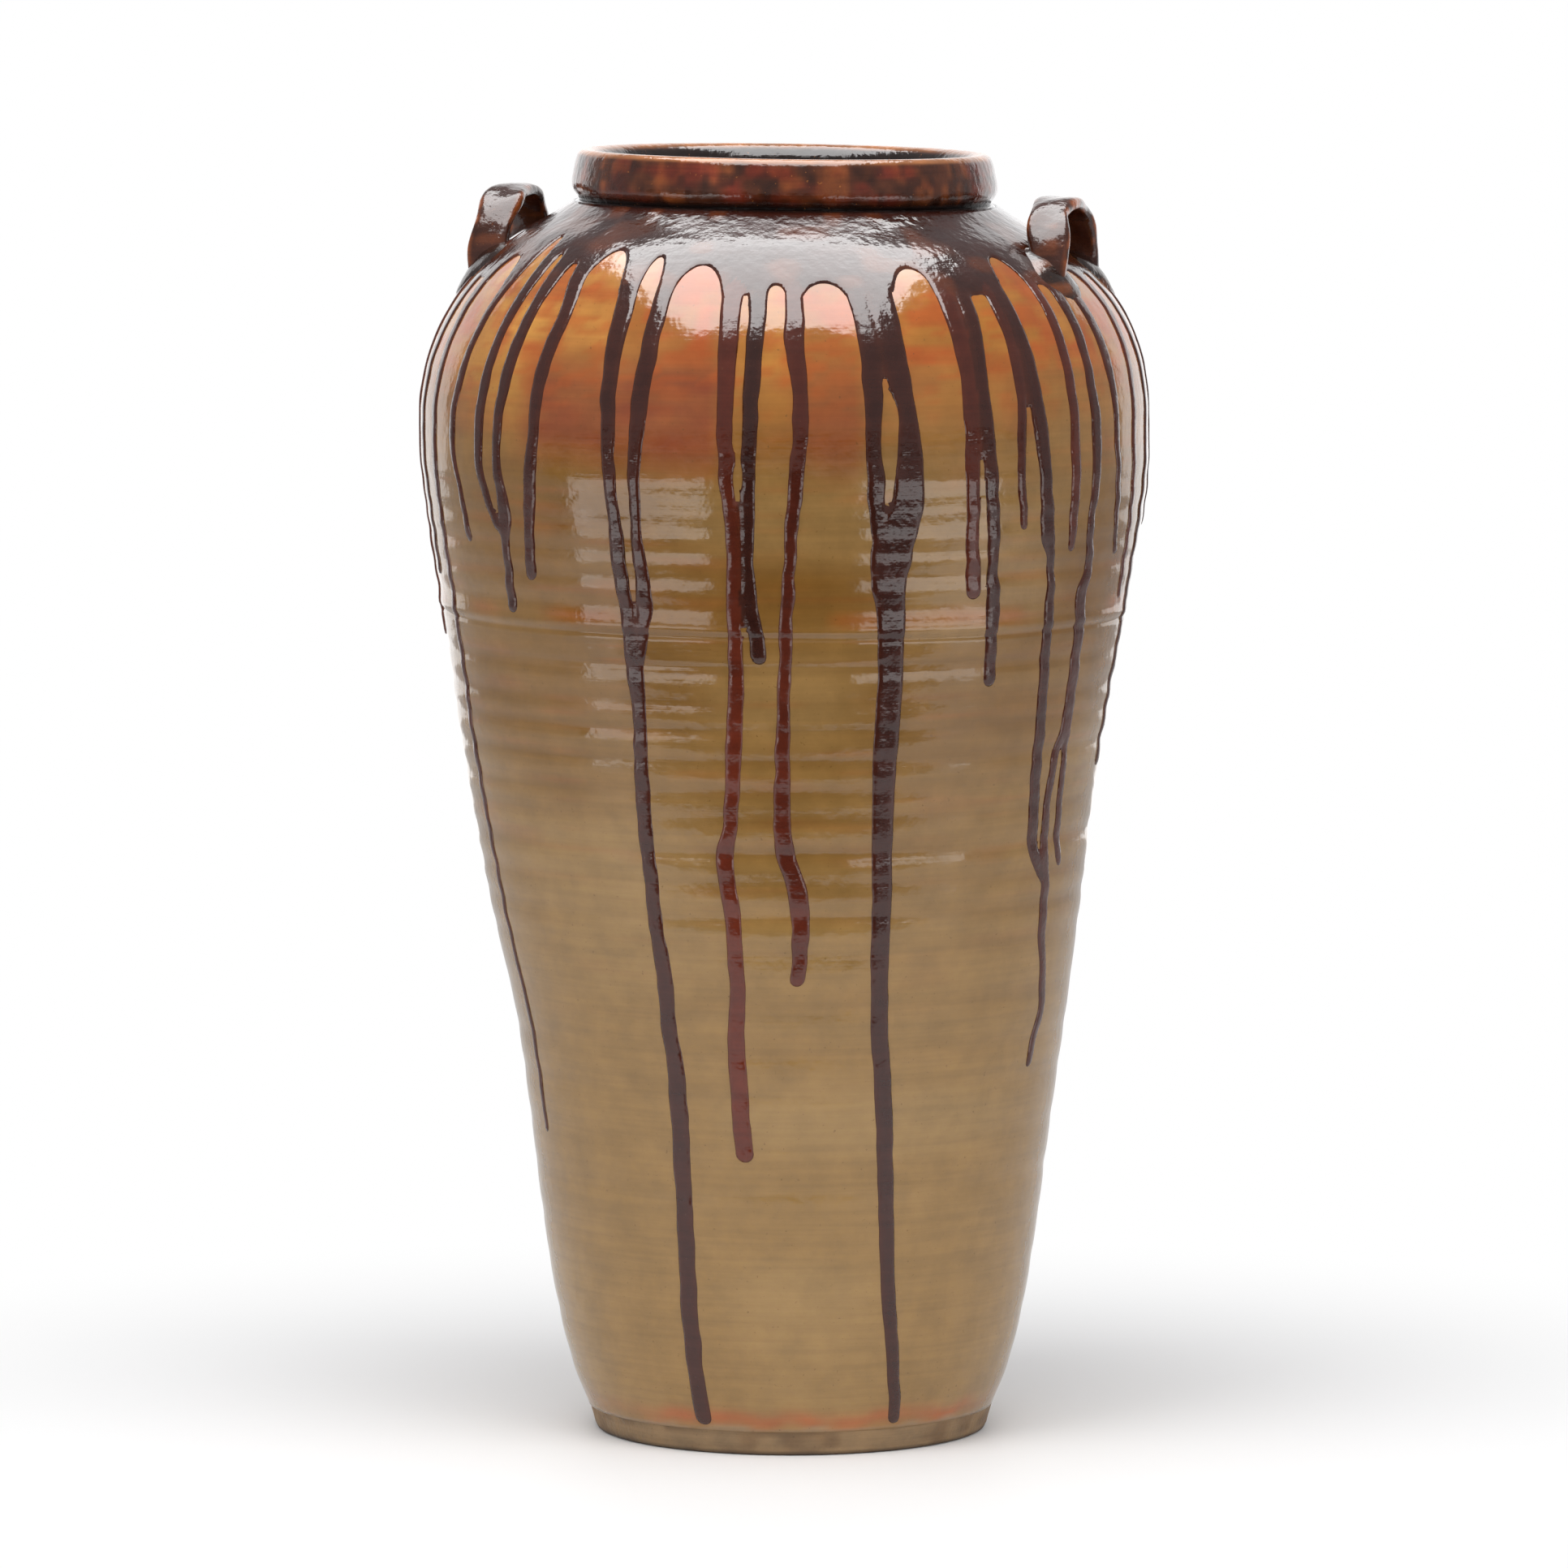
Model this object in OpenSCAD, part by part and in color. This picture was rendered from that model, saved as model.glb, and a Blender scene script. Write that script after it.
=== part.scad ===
// Martaban storage jar, built the way a potter builds one: a base disc, a lower and an upper
// wall, a neck ring, a rim collar, two lug straps with their wads of clay, and the glaze coats.
// The origin is the middle of the foot, on the floor. Front is -Y, and the lugs stand left and right.

/* [Body outline] */
// Diameter of the foot on the floor
foot_d = 184; // [170:1:200]
// Height of the flared stretch above the floor
tuck_h = 60; // [40:1:90]
// Diameter at the top of the flared stretch
tuck_d = 220; // [206:1:230]
// Height at which the wall starts to turn in to the belly
turn_h = 410; // [395:1:430]
// Diameter where the wall starts to turn in
turn_d = 328; // [310:1:334]
// Height of the widest place
belly_h = 470; // [455:1:500]
// Diameter at the widest place
belly_d = 340; // [336:1:370]
// Height of the shoulder, from the widest place to the groove under the rim
shoulder_h = 108; // [100:1:125]
// How square the shoulder is (2 is a quarter of an ellipse)
shoulder_power = 2.6; // [2.2:0.1:3]
// Diameter at the groove under the rim
neck_d = 192; // [188:1:206]

/* [Walls] */
// Thickness of the fired clay wall with its glaze
wall_t = 9; // [7:0.5:12]
// Height of the base disc's edge
base_t = 14; // [10:1:18]
// How far the base disc stands up inside the wall
base_boss_h = 6; // [4:1:10]
// Height of the join between the lower and the upper wall
seam_h = 386; // [360:1:392]
// Height of the stepped lap in that join
lap_h = 10; // [6:1:14]
// Radial play in the stepped joints
joint_gap = 0.3; // [0.1:0.1:0.6]
// Width of the crease along the join
crease_w = 3; // [2:0.5:5]
// Depth of the crease along the join
crease_depth = 1.2; // [0.8:0.1:2]

/* [Throwing rings] */
// Spacing of the throwing rings
ring_pitch = 15; // [13:1:20]
// Depth of the throwing rings
ring_depth = 0.5; // [0:0.1:0.8]

/* [Neck and rim] */
// Inner diameter of the mouth
mouth_d = 166; // [156:1:170]
// Height of the rim above the groove
rim_h = 22; // [20:1:30]
// Largest diameter of the rim, near its lower edge
rim_d = 198; // [196:1:212]
// Height of the widest place of the rim above the groove
rim_edge_h = 6; // [5:0.5:9]
// Rounding of the rim's lower edge
rim_edge_round = 3; // [2:0.5:4]
// Rounding of the lip
lip_round = 5; // [4:0.5:5.5]
// Height of the neck ring
neck_ring_h = 12; // [9:1:16]
// How far the neck ring reaches down into the upper wall
spigot_h = 6; // [4:1:9]
// Height of the tongue that keys the rim to the neck ring
tongue_h = 3; // [2:0.5:4]
// Width of that tongue
tongue_w = 4; // [3:0.5:5]
// Distance from the mouth to the tongue
tongue_inset = 4; // [3:0.5:5]

/* [Lugs] */
// Direction of the first lug, in degrees round from the front
lug_turn = 76; // [60:1:90]
// Distance of the strap's middle from the jar's axis
lug_reach = 135; // [128:1:140]
// Width of the lug over its two feet
lug_span = 78; // [64:1:90]
// Height of the strap above the shoulder
lug_rise = 30; // [24:1:40]
// Width of the strap
lug_strap_w = 20; // [14:1:22]
// Thickness of the strap
lug_strap_t = 6; // [5:0.5:8]
// How square the lug's arch is (2 is an ellipse)
lug_power = 2.5; // [2:0.1:3]
// Radius of the wads of clay that hold the lug's feet
wad_r = 26; // [24:1:30]
// Height of the wads above the wall
wad_rise = 6; // [5:0.5:8]

/* [Glaze] */
// Height of the bare clay above the floor
bare_h = 13; // [8:1:20]
// Thickness of the ground, inner and rim glazes
glaze_t = 0.5; // [0.3:0.1:0.8]
// Height of the dark shoulder coat below the groove
coat_h = 33; // [28:1:40]
// Thickness of the dark shoulder coat
coat_t = 0.6; // [0.4:0.1:1]
// Thickness of the runs
run_t = 0.9; // [0.6:0.1:1.4]
// Widening of a run where it leaves the shoulder coat
run_flare = 1.5; // [1.2:0.1:1.7]

/* [Hidden] */

$fn = 96;
eps = 0.001;
shoulder_steps = 16;
arch_steps = 24;
rim_steps = 8;
// The depth below the visible surface to which the lug straps are drawn before the wall cuts them
lug_root = 24;
// The length of a run's rounded end, and how much wider and narrower it is there
tip_h = 6;
tip_bulge = 1.2;
tip_end = 0.45;
// The share of a run's width that is left at its top face
run_crown = 0.6;

foot_r = foot_d / 2;
tuck_r = tuck_d / 2;
turn_r = turn_d / 2;
belly_r = belly_d / 2;
neck_r = neck_d / 2;
mouth_r = mouth_d / 2;
rim_r = rim_d / 2;
neck_z = belly_h + shoulder_h;
jar_h = neck_z + rim_h;
neck_seat_z = neck_z - neck_ring_h;
coat_z = neck_z - coat_h;
wall_slope = (turn_r - tuck_r) / (turn_h - tuck_h);

// Outline of the glazed jar: the radius at a height
function straight_r(z) = tuck_r + wall_slope * (z - tuck_h);
function tuck_in(z) = (straight_r(0) - foot_r) * pow(1 - z / tuck_h, 2);
// The turn to the belly leaves the straight wall along its slope and is upright at the belly
function turn_share(z) = (z - turn_h) / (belly_h - turn_h);
function turn_curve(u) =
    turn_r * (1 - u * u * (3 - 2 * u)) + belly_r * u * u * (3 - 2 * u)
    + wall_slope * (belly_h - turn_h) * u * (1 - u) * (1 - u);
function shoulder_curve(u) = neck_r + (belly_r - neck_r) * (1 - pow(u, shoulder_power));
function smooth_r(z) =
    z < tuck_h ? straight_r(z) - tuck_in(z)
    : z < turn_h ? straight_r(z)
    : z < belly_h ? turn_curve(turn_share(z))
    : shoulder_curve((z - belly_h) / shoulder_h);

// Growth of the radius with height, and from it how much wider a coat is when measured level
function slope_at(z) = (smooth_r(min(z + 0.5, neck_z)) - smooth_r(max(z - 0.5, 0)))
    / (min(z + 0.5, neck_z) - max(z - 0.5, 0));
function level(t, z) = t * sqrt(1 + pow(slope_at(z), 2));

// Heights at which the outline is drawn: a crest or a hollow of the rings, then the shoulder
half_pitch = ring_pitch / 2;
wall_count = ceil(belly_h / half_pitch) - 1;
wall_heights = [for (i = [0 : wall_count]) i * half_pitch];
shoulder_heights = [for (i = [0 : shoulder_steps]) belly_h + shoulder_h * sin(90 * i / shoulder_steps)];
function hollow(i) = (i % 2 == 1 && i * half_pitch > tuck_h) ? ring_depth : 0;

glaze_side = concat(
    [for (i = [0 : wall_count]) [wall_heights[i], smooth_r(wall_heights[i]) - hollow(i)]],
    [for (z = shoulder_heights) [z, smooth_r(z)]]);
clay_side = [for (s = glaze_side) [s[0], s[1] - level(glaze_t, s[0])]];
coat_side = [for (s = glaze_side) [s[0], s[1] + level(coat_t, s[0])]];
inner_side = [for (s = glaze_side) [s[0], smooth_r(s[0]) - level(wall_t, s[0])]];
liner_side = [for (s = inner_side) [s[0], s[1] - level(glaze_t, s[0])]];

// The stretch of an outline from one height up to another, as points of a section
function stretch(side, z0, z1) = concat(
    [[lookup(z0, side), z0]],
    [for (s = side) if (s[0] > z0 + eps && s[0] < z1 - eps) [s[1], s[0]]],
    [[lookup(z1, side), z1]]);
function reverse(list) = [for (i = [len(list) - 1 : -1 : 0]) list[i]];
function arc(centre, r, from, to, steps) =
    [for (i = [0 : steps]) centre + r * [cos(from + (to - from) * i / steps), sin(from + (to - from) * i / steps)]];

// Base disc, with a boss that the lower wall stands round
module base_disc() {
    boss_z = base_t + base_boss_h;
    boss = [for (p = stretch(inner_side, base_t, boss_z)) [p[0] - joint_gap, p[1]]];
    color("#8f6f4b")
    rotate_extrude()
    polygon(concat([[0, 0]], stretch(clay_side, 0, base_t), boss, [[0, boss_z]]));
}

// The stepped join: the lower wall carries the outer half of the lap
seam_mid_r = lookup(seam_h, clay_side) - wall_t / 2;
lap_z = seam_h - lap_h;
crease_low = seam_h - crease_w / 2;
crease_high = seam_h + crease_w / 2;
crease_bottom = [lookup(seam_h, clay_side) - crease_depth, seam_h];

module lower_wall() {
    color("#a07a50")
    rotate_extrude()
    polygon(concat(
        stretch(clay_side, base_t, crease_low),
        [crease_bottom, [seam_mid_r, seam_h], [seam_mid_r, lap_z]],
        reverse(stretch(inner_side, base_t, lap_z))));
}

module upper_wall() {
    color("#a98256")
    rotate_extrude()
    polygon(concat(
        stretch(clay_side, crease_high, neck_seat_z),
        reverse(stretch(inner_side, lap_z, neck_seat_z)),
        [[seam_mid_r - joint_gap, lap_z], [seam_mid_r - joint_gap, seam_h], crease_bottom]));
}

// Slip squeezed into the crease of the join
module seam_slip() {
    color("#b5793f")
    rotate_extrude()
    polygon(concat(stretch(clay_side, crease_low, crease_high), [crease_bottom]));
}

// Neck ring, hung in the opening of the upper wall by a spigot, with a tongue for the rim
tongue_in = mouth_r + tongue_inset;
tongue_out = tongue_in + tongue_w;

module neck_ring() {
    spigot_r = lookup(neck_seat_z, inner_side) - joint_gap;
    spigot_z = neck_seat_z - spigot_h;
    color("#97704a")
    rotate_extrude()
    polygon(concat(
        [[mouth_r, spigot_z], [spigot_r, spigot_z], [spigot_r, neck_seat_z]],
        stretch(clay_side, neck_seat_z, neck_z),
        [[tongue_out, neck_z], [tongue_out, neck_z + tongue_h], [tongue_in, neck_z + tongue_h],
         [tongue_in, neck_z], [mouth_r, neck_z]]));
}

// Rim: a lip and a wider lower edge, both round, with the straight flank that touches them
lip_centre = [mouth_r + lip_round, jar_h - glaze_t - lip_round];
edge_centre = [rim_r - glaze_t - rim_edge_round, neck_z + rim_edge_h];
flank = edge_centre - lip_centre;
flank_angle = atan2(flank[1], flank[0]) + 90 - asin((rim_edge_round - lip_round) / norm(flank));
lip_start = 135;
function rim_side(extra) = concat(
    arc(lip_centre, lip_round + extra, lip_start, flank_angle, rim_steps),
    arc(edge_centre, rim_edge_round + extra, flank_angle, -90, rim_steps));

module rim_collar() {
    groove_top = neck_z + tongue_h;
    neck_clay_r = lookup(neck_z, clay_side);
    color("#8a5a34")
    rotate_extrude()
    polygon(concat(
        arc(lip_centre, lip_round, 180, lip_start, 4),
        [for (i = [1 : 2 * rim_steps + 1]) rim_side(0)[i]],
        [[neck_clay_r, neck_z + 1], [neck_clay_r, neck_z], [tongue_out + joint_gap, neck_z],
         [tongue_out + joint_gap, groove_top], [tongue_in - joint_gap, groove_top],
         [tongue_in - joint_gap, neck_z], [mouth_r, neck_z]]));
}

module rim_glaze() {
    color("#6e3419")
    rotate_extrude()
    polygon(concat(rim_side(glaze_t), reverse(rim_side(0))));
}

// Lugs: an upright arch of strap across the shoulder, trimmed where it meets the wall
function shoulder_z(r) = belly_h + shoulder_h * pow((belly_r - r) / (belly_r - neck_r), 1 / shoulder_power);
lug_base_z = shoulder_z(lug_reach);
foot_x = (lug_span - lug_strap_t) / 2;

function arch(half_w, h) =
    [for (i = [0 : arch_steps])
        let (a = 180 * i / arch_steps, c = cos(a), s = sin(a))
        [half_w * sign(c) * pow(abs(c), 2 / lug_power), h * pow(abs(s), 2 / lug_power)]];

module strap_section() {
    outer = arch(lug_span / 2, lug_rise);
    inner = arch(lug_span / 2 - lug_strap_t, lug_rise - lug_strap_t);
    polygon(concat(
        [[lug_span / 2, -lug_root]], outer, [[-lug_span / 2, -lug_root]],
        [[-lug_span / 2 + lug_strap_t, -lug_root]], reverse(inner),
        [[lug_span / 2 - lug_strap_t, -lug_root]]));
}

// A solid jar from the join to the neck, to trim what stands on its wall
module clay_core() {
    rotate_extrude()
    polygon(concat([[0, seam_h]], stretch(clay_side, seam_h, neck_z), [[0, neck_z]]));
}

module at_lug(turn) {
    rotate([0, 0, turn - 90])
    children();
}

module strap() {
    translate([lug_reach - lug_strap_w / 2, 0, lug_base_z])
    rotate([90, 0, 90])
    linear_extrude(lug_strap_w)
    strap_section();
}

// Balls of clay under the strap's two feet, sunk along the wall's normal
module wad_balls() {
    foot_r_out = norm([lug_reach, foot_x]);
    foot_z = shoulder_z(foot_r_out);
    tilt = atan2(1, -slope_at(foot_z));
    sink = wad_r - wad_rise;
    ball_r = foot_r_out - sink * sin(tilt);
    for (side = [-1, 1])
        rotate([0, 0, side * asin(foot_x / foot_r_out)])
        translate([ball_r, 0, foot_z - sink * cos(tilt)])
        sphere(wad_r);
}

module lug(turn) {
    color("#3d241a")
    difference() {
        at_lug(turn) strap();
        clay_core();
    }
}

module lug_wads(turn) {
    color("#4a2c1e")
    difference() {
        at_lug(turn) wad_balls();
        clay_core();
        at_lug(turn) strap();
    }
}

module right_lug() lug(lug_turn);
module left_lug() lug(lug_turn + 180);
module right_lug_wads() lug_wads(lug_turn);
module left_lug_wads() lug_wads(lug_turn + 180);

// Glaze coats on the outer wall, left open where the wads sit on the clay
module ground_glaze() {
    color("#b08a4c")
    difference() {
        rotate_extrude()
        polygon(concat(stretch(glaze_side, bare_h, neck_z), reverse(stretch(clay_side, bare_h, neck_z))));
        at_lug(lug_turn) wad_balls();
        at_lug(lug_turn + 180) wad_balls();
    }
}

module shoulder_glaze() {
    color("#3a1f18")
    difference() {
        rotate_extrude()
        polygon(concat(stretch(coat_side, coat_z, neck_z), reverse(stretch(glaze_side, coat_z, neck_z))));
        at_lug(lug_turn) wad_balls();
        at_lug(lug_turn + 180) wad_balls();
    }
}

module inner_glaze() {
    floor_z = base_t + base_boss_h;
    top_z = neck_seat_z - spigot_h;
    color("#2c1d16")
    rotate_extrude()
    polygon(concat(
        [[0, floor_z]], stretch(inner_side, floor_z, top_z),
        reverse(stretch(liner_side, floor_z + glaze_t, top_z)), [[0, floor_z + glaze_t]]));
}

// Glaze runs: points [degrees round from the front, drop below the shoulder coat, width]
front_courses = [
    [[-71, 0, 8], [-72, 60, 6], [-72, 130, 5], [-71, 230, 4], [-70, 330, 4], [-69, 400, 4]],
    [[-60.5, 0, 9], [-64, 62, 6.5], [-62.5, 95, 6], [-61.5, 122, 6]],
    [[-53.5, 0, 10], [-56, 60, 7.5], [-56, 85, 7.5], [-54.5, 104, 6]],
    [[-48, 0, 11], [-49.5, 40, 8], [-51, 90, 8], [-50, 115, 9], [-51, 153, 6]],
    [[-42.5, 0, 11], [-41, 20, 8], [-43, 90, 8], [-45, 140, 7]],
    [[-29, 0, 11], [-28, 80, 7.5], [-26, 155, 7], [-25.5, 180, 8.5], [-25.5, 265, 6.5],
     [-25.2, 320, 7.5], [-24.7, 400, 8.5], [-24.5, 531, 8]],
    [[-22, 0, 10], [-24, 65, 6], [-23.3, 120, 7], [-23, 150, 5]],
    [[-9.5, 0, 10], [-8.8, 90, 7.5], [-8, 165, 7], [-10.6, 265, 8], [-10, 300, 7.5],
     [-11.2, 345, 8], [-10, 404, 8]],
    [[-4.5, 0, 10], [-5.2, 90, 7], [-5.4, 142, 7.5], [-4.2, 172, 7]],
    [[1.5, 0, 10], [2, 75, 7.5], [0.5, 135, 7], [0, 240, 8], [2.5, 285, 9], [1.5, 322, 6]],
    [[12.5, 0, 12], [13.5, 60, 7.5], [14, 110, 7]],
    [[18, 0, 13], [19.6, 80, 11], [18, 135, 14], [18, 205, 12.5], [18.1, 338, 9],
     [20.6, 396, 8], [23.8, 473, 7], [29.5, 531, 6]],
    [[29.5, 0, 11], [30.6, 90, 7], [31.6, 143, 7]],
    [[34.5, 0, 9], [33.9, 60, 7], [35, 120, 7], [36, 140, 8.5], [37, 185, 6]],
    [[39, 0, 8], [39, 75, 5], [40, 112, 4]],
    [[43.5, 0, 9], [44.4, 78, 8], [48, 135, 7], [51, 210, 7.5], [53, 268, 7]],
    [[51.2, 4, 8], [51.5, 70, 6], [52.5, 126, 6]],
    [[57, 14, 9], [57.8, 120, 8.5], [59, 200, 9], [57, 243, 6], [59.4, 300, 7], [62.5, 330, 6.5],
     [60.2, 367, 5]],
    [[64, 14, 8], [64.4, 65, 6], [67.5, 129, 5]]];

back_courses = [
    [[73, 14, 8], [72, 70, 6], [73, 150, 5]],
    [[80, 0, 9], [81, 60, 7], [79, 140, 7], [80, 230, 7]],
    [[90, 16, 9], [91, 80, 7], [90, 120, 7]],
    [[99, 4, 10], [98, 70, 8], [100, 190, 8], [99, 330, 8], [101, 470, 7]],
    [[108, 0, 10], [109, 60, 7], [108, 155, 6]],
    [[114, 0, 9], [115, 50, 6], [115, 105, 6]],
    [[122, 0, 11], [123, 90, 8], [121, 200, 8], [122, 290, 7]],
    [[131, 0, 10], [130, 60, 7], [131, 130, 7]],
    [[137, 0, 9], [138, 90, 7], [137, 175, 6]],
    [[146, 0, 12], [147, 80, 9], [145, 200, 10], [146, 340, 8], [147, 450, 8], [145, 531, 7]],
    [[155, 0, 10], [154, 60, 7], [155, 115, 7]],
    [[162, 0, 9], [163, 70, 7], [162, 160, 7]],
    [[170, 0, 11], [169, 90, 8], [171, 210, 7], [170, 270, 7]],
    [[178, 0, 10], [179, 60, 7], [178, 140, 6]],
    [[185, 0, 10], [184, 100, 8], [186, 220, 8], [185, 380, 8], [183, 500, 7]],
    [[193, 0, 10], [194, 70, 7], [193, 130, 7]],
    [[199, 0, 8], [200, 60, 6], [199, 110, 5]],
    [[207, 0, 11], [206, 90, 8], [208, 190, 8], [207, 250, 7]],
    [[216, 0, 10], [217, 70, 7], [216, 145, 7]],
    [[224, 0, 10], [223, 80, 8], [224, 180, 7]],
    [[232, 0, 9], [231, 60, 7], [232, 115, 6]],
    [[240, 16, 9], [241, 100, 8], [239, 230, 8], [240, 370, 8], [242, 531, 7]],
    [[250, 0, 10], [249, 60, 7], [250, 135, 7]],
    [[258, 0, 10], [259, 90, 8], [257, 200, 7]],
    [[265, 0, 8], [264, 70, 6], [265, 120, 6]],
    [[273, 16, 9], [272, 90, 7], [274, 170, 7]],
    [[281, 0, 10], [280, 60, 7], [281, 140, 6]]];

// A run's cross-sections stand at the crests of the rings and at the shoulder's heights
crest_heights = concat([for (i = [0 : 2 : wall_count]) wall_heights[i]], shoulder_heights);

function turn_at(course, drop) = lookup(drop, [for (p = course) [p[1], p[0]]]);
function width_at(course, drop) = lookup(drop, [for (p = course) [p[1], p[2]]]);
function run_top(course) = coat_z - course[0][1];
function run_end(course) = max(coat_z - course[len(course) - 1][1], bare_h + 1);

// Heights of a run's sections, from its end up to its top
function run_heights(course) =
    let (low = run_end(course), high = run_top(course), tip_top = low + tip_h)
    concat([low, low + tip_h / 3, tip_top],
           [for (z = crest_heights) if (z > tip_top + 1 && z < high - 1) z], [high]);

function swell(z, low, high) =
    z < low + eps ? tip_end
    : z < low + tip_h - eps ? 1
    : z < low + tip_h + eps ? tip_bulge
    : z > high - eps ? run_flare : 1;

// The flat underside is lifted so that its middle just rests on the round wall
function run_section(course, z) =
    let (drop = coat_z - z,
         turn = turn_at(course, drop) - 90,
         w = width_at(course, drop) * swell(z, run_end(course), run_top(course)),
         r = lookup(z, glaze_side),
         half = asin(w / 2 / r),
         under = r / cos(half),
         over = (r + level(run_t, z)) / cos(half * run_crown))
    [for (s = [[-1, under], [1, under], [run_crown, over], [-run_crown, over]])
        [s[1] * cos(turn + s[0] * half), s[1] * sin(turn + s[0] * half), z]];

module run(course) {
    heights = run_heights(course);
    last = len(heights) - 1;
    points = [for (z = heights) each run_section(course, z)];
    sides = [for (i = [0 : last - 1], k = [0 : 3])
        let (a = 4 * i + k, b = 4 * i + (k + 1) % 4)
        each [[a, a + 4, b], [b, a + 4, b + 4]]];
    ends = [[0, 1, 2], [0, 2, 3], [4 * last, 4 * last + 2, 4 * last + 1], [4 * last, 4 * last + 3, 4 * last + 2]];
    polyhedron(points, concat(sides, ends));
}

module front_runs() {
    color("#47261c")
    for (course = front_courses)
        run(course);
}

module back_runs() {
    color("#40221a")
    for (course = back_courses)
        run(course);
}

base_disc();
lower_wall();
upper_wall();
seam_slip();
neck_ring();
rim_collar();
right_lug();
left_lug();
right_lug_wads();
left_lug_wads();
ground_glaze();
inner_glaze();
shoulder_glaze();
rim_glaze();
front_runs();
back_runs();
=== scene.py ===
import math
import bpy
import numpy as np
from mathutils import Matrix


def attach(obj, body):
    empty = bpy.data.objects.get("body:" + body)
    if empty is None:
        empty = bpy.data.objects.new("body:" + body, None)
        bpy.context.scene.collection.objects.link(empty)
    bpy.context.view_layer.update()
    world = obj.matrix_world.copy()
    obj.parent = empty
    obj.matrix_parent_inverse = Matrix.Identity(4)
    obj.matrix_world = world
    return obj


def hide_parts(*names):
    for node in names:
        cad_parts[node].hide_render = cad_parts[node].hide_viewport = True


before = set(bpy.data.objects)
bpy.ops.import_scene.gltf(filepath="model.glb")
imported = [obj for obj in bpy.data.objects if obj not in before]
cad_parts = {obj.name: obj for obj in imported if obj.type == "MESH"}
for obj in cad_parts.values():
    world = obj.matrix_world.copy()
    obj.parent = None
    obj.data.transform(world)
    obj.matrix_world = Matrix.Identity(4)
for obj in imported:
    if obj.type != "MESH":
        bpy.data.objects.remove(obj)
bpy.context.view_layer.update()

# A tall glazed storage jar with two small lugs, dressed over its CAD frame.
# Lengths are in millimetres until a mesh is made, and azimuths in degrees round from the front towards +X.
MM = 0.001

# Outline of the outer wall, (height, radius), from the foot to the groove under the rim
OUTLINE = [(0, 91.9), (8, 94.1), (30, 102.6), (60, 109.9), (100, 116.2), (150, 122.6), (200, 129.7),
           (250, 138.6), (300, 146.3), (340, 153.0), (380, 159.1), (410, 164.0), (440, 168.4), (460, 170.0),
           (480, 170.0), (500, 167.6), (515, 163.0), (530, 155.3), (545, 143.0), (560, 124.6), (570, 106.9),
           (577, 96.4)]
FOOT_Z, GROOVE_Z, WALL = 13.0, 577.0, 9.0
# Drop of the outline at the groove, for the glaze that ends there
GROOVE_SLOPE = -1.4

# Sideways lean of the jar, (height, shift in x)
LEAN = [(0, 0), (190, 0), (246, -2.2), (326, -4.3), (380, -3.2), (440, -2.6), (475, -3.3), (535, -2.7),
        (600, -3.1)]
# The mouth is lower on the right, by this share of x, all of it above the second height
TILT, TILT_FROM, TILT_FULL = 0.0143, 520, 575

# Throwing rings, (height, depth, half width), how far they wander in height, and the wall's own unevenness
RINGS = [(450, .34, 5), (437, .42, 4.5), (425, .4, 4), (413, .45, 4), (400, .45, 4), (371, .4, 3.5),
         (356, .5, 4.5), (343, .45, 4), (329, .5, 4), (315, .45, 4.5), (302, .42, 4), (286, .5, 4.5),
         (271, .5, 4.5), (256, .4, 4.5), (240, .3, 5), (214, .26, 5), (192, .3, 5), (173, .38, 5),
         (150, .26, 5), (127, .4, 5), (104, .26, 5), (82, .3, 5), (58, .26, 5), (36, .2, 5)]
RING_WANDER, UNEVEN = 2.6, 0.9
# The joint of the two thrown halves: a crease, a soft bulge above it and a fainter line below it
SEAM_Z, SEAM_TILT, SEAM_WANDER = 386.0, 0.0095, 1.2
CREASE_DEPTH, CREASE_HALF = 0.55, 1.1
BULGE, BULGE_UP, BULGE_HALF = 0.45, 3.4, 2.2
LINE_DEPTH, LINE_DOWN, LINE_WANDER = 0.35, 13, 1.5

# Size of a noise table in height, and the row where height 0 lies
NOISE_ROWS, NOISE_ZERO = 400, 40


def smooth(points):
    """A monotone cubic through points."""
    x, y = np.array(points, float).T
    h = np.diff(x)
    d = np.diff(y) / h
    m = np.zeros(len(x))
    same = d[:-1] * d[1:] > 0
    w1, w2 = 2 * h[1:] + h[:-1], h[1:] + 2 * h[:-1]
    before, after = np.where(same, d[:-1], 1), np.where(same, d[1:], 1)
    m[1:-1] = np.where(same, (w1 + w2) / (w1 / before + w2 / after), 0)
    m[0], m[-1] = d[0], d[-1]

    def value(v):
        v = np.clip(v, x[0], x[-1])
        i = np.clip(np.searchsorted(x, v, side="right") - 1, 0, len(h) - 1)
        t = (v - x[i]) / h[i]
        return ((1 + 2 * t) * (1 - t) ** 2 * y[i] + t * (1 - t) ** 2 * h[i] * m[i]
                + t * t * (3 - 2 * t) * y[i + 1] + t * t * (t - 1) * h[i] * m[i + 1])
    return value


outline, lean = smooth(OUTLINE), smooth(LEAN)
DENSE_Z = np.linspace(0, GROOVE_Z, 4000)
ARC = np.concatenate([[0], np.cumsum(np.hypot(np.diff(DENSE_Z), np.diff(outline(DENSE_Z))))])


def arc(z):
    """Length along the outline, from the floor to a height."""
    return np.interp(z, DENSE_Z, ARC)


def height_at(s):
    return np.interp(s, ARC, DENSE_Z)


def per_degree(z):
    """Length of one degree of azimuth on the wall."""
    return outline(z) * math.pi / 180


def step(a, b, v):
    """0 before a, 1 past b, smooth between."""
    t = np.clip((v - a) / (b - a), 0, 1)
    return t * t * (3 - 2 * t)


def window(v, a, b, c, d):
    """Rises from a to b and falls from c to d."""
    return step(a, b, v) * (1 - step(c, d, v))


def bell(v):
    return np.exp(-v ** 2)


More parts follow.
